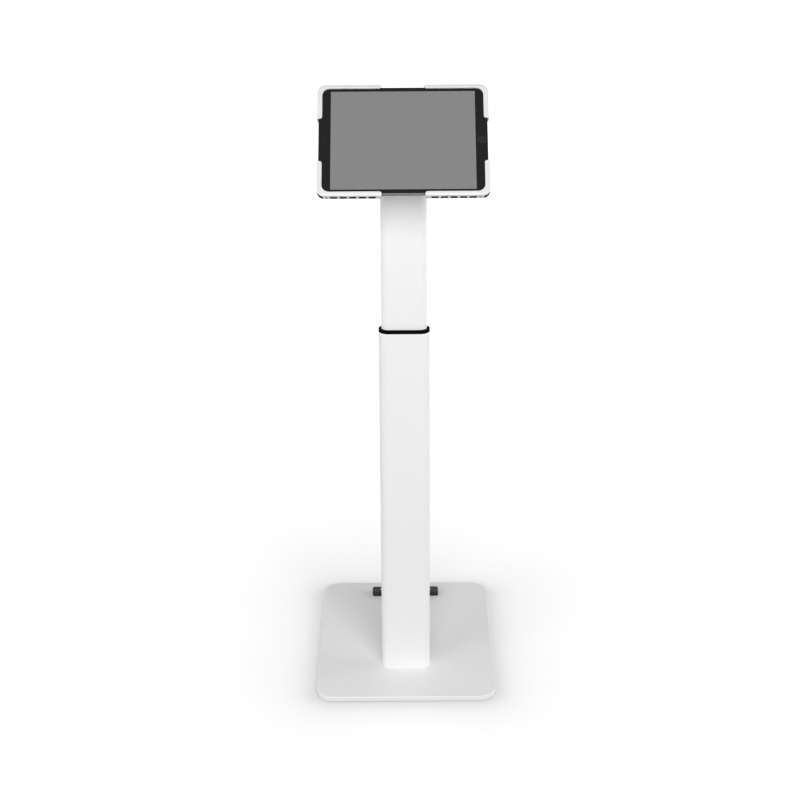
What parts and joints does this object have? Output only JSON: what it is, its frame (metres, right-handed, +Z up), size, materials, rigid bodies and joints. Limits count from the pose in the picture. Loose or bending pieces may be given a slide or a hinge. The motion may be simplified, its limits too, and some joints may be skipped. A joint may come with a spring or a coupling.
{
  "type": "tablet floor stand",
  "caption": "White floor stand for a tablet: flat base plate, telescoping flat-oval column, tilting and turning corner-grip holder with a tablet in it.",
  "frame": {"origin": "centre of the rubber mat's underside, on the floor", "axes": "+Z up along the column, +X to the right seen from the front, +Y to the rear; the screen faces -Y and up"},
  "size_m": [0.296, 0.394, 0.9845],
  "materials": {
    "white_steel": "fine-textured white powder coat, satin",
    "white_plastic": "white moulded plastic, satin",
    "black_plastic": "black moulded plastic, fine matt texture",
    "black_rubber": "matt black rubber",
    "bare_steel": "zinc-plated steel",
    "brass": "turned brass",
    "bare_aluminium": "blasted and anodised aluminium",
    "tablet_glass": "polished cover glass, black border, grey resting screen",
    "tablet_inside": "dark electronics",
    "tablet_buttons": "dark glossy button"
  },
  "bodies": {
    "base": {"base_mat": "black_rubber", "base_plate": "white_steel", "column_foot": "bare_aluminium", "foot_bolts": "bare_steel", "foot_set_screws": "bare_steel", "outer_tube": "white_steel", "collar": "black_plastic", "cable_grommet": "black_rubber", "cable_bar": "black_plastic", "cable_bar_screws": "bare_steel", "lock_boss": "black_plastic", "lock_bush": "brass", "lock_boss_screws": "bare_steel"},
    "brake": {"brake_shoe": "bare_steel", "brake_pad": "black_rubber"},
    "knob": {"clamp_screw": "bare_steel", "lock_knob": "black_plastic"},
    "mast": {"inner_tube": "white_steel", "lower_glide": "black_plastic", "glide_screws": "bare_steel", "yoke": "white_steel", "yoke_screws": "bare_steel", "tilt_axle": "bare_steel", "tilt_nut": "bare_steel", "tilt_washers": "black_plastic"},
    "neck": {"neck": "white_steel", "turn_washer": "black_plastic", "turn_stop_pin": "bare_steel", "spindle_nut": "bare_steel"},
    "holder": {"rotation_plate": "white_steel", "rotation_plate_screws": "bare_steel", "rear_shell": "white_steel", "corner_bracket_top_left": "white_plastic", "corner_bracket_top_right": "white_plastic", "corner_bracket_bottom_left": "white_plastic", "corner_bracket_bottom_right": "white_plastic", "bracket_screws": "bare_steel", "foam_pads": "black_rubber", "tablet_body": "bare_aluminium", "tablet_glass": "tablet_glass", "tablet_display": "tablet_inside", "tablet_battery": "tablet_inside", "tablet_board": "tablet_inside", "front_camera": "tablet_glass", "charge_socket": "bare_steel"},
    "home_button": {"home_button": "tablet_buttons"},
    "power_button": {"power_button": "tablet_buttons"},
    "volume_up_button": {"volume_up_button": "tablet_buttons"},
    "volume_down_button": {"volume_down_button": "tablet_buttons"}
  },
  "joints": [
    {"name": "height_slide", "type": "slide", "parent": "base", "child": "mast", "axis": [0, 0, 1], "range_m": [-0.25, 0.2]},
    {"name": "brake_slide", "type": "slide", "parent": "base", "child": "brake", "axis": [0, 1, 0], "range_m": [0, 0.00125]},
    {"name": "knob_turn", "type": "hinge", "parent": "brake", "child": "knob", "pos_m": [0, -0.091, 0.58], "axis": [0, 1, 0], "range_deg": [0, 360]},
    {"name": "holder_tilt", "type": "hinge", "parent": "mast", "child": "neck", "pos_m": [0, -0.091, 0.8905], "axis": [-1, 0, 0], "range_deg": [-40.5, 49.5]},
    {"name": "holder_turn", "type": "hinge", "parent": "neck", "child": "holder", "pos_m": [0, -0.091, 0.8905], "axis": [0, -0.7604, 0.6494], "range_deg": [-90, 0]},
    {"name": "home_button_press", "type": "slide", "parent": "holder", "child": "home_button", "axis": [0, 0.7604, -0.6494], "range_m": [0, 0.0004], "stiffness_N_per_m": 1500},
    {"name": "power_button_press", "type": "slide", "parent": "holder", "child": "power_button", "axis": [1, 0, 0], "range_m": [0, 0.0004], "stiffness_N_per_m": 1500},
    {"name": "volume_up_button_press", "type": "slide", "parent": "holder", "child": "volume_up_button", "axis": [0, -0.6494, -0.7604], "range_m": [0, 0.0004], "stiffness_N_per_m": 1500},
    {"name": "volume_down_button_press", "type": "slide", "parent": "holder", "child": "volume_down_button", "axis": [0, -0.6494, -0.7604], "range_m": [0, 0.0004], "stiffness_N_per_m": 1500}
  ],
  "couplings": [
    {"joint": "knob_turn", "follows": "brake_slide", "rad_per_m": 5026.5}
  ]
}
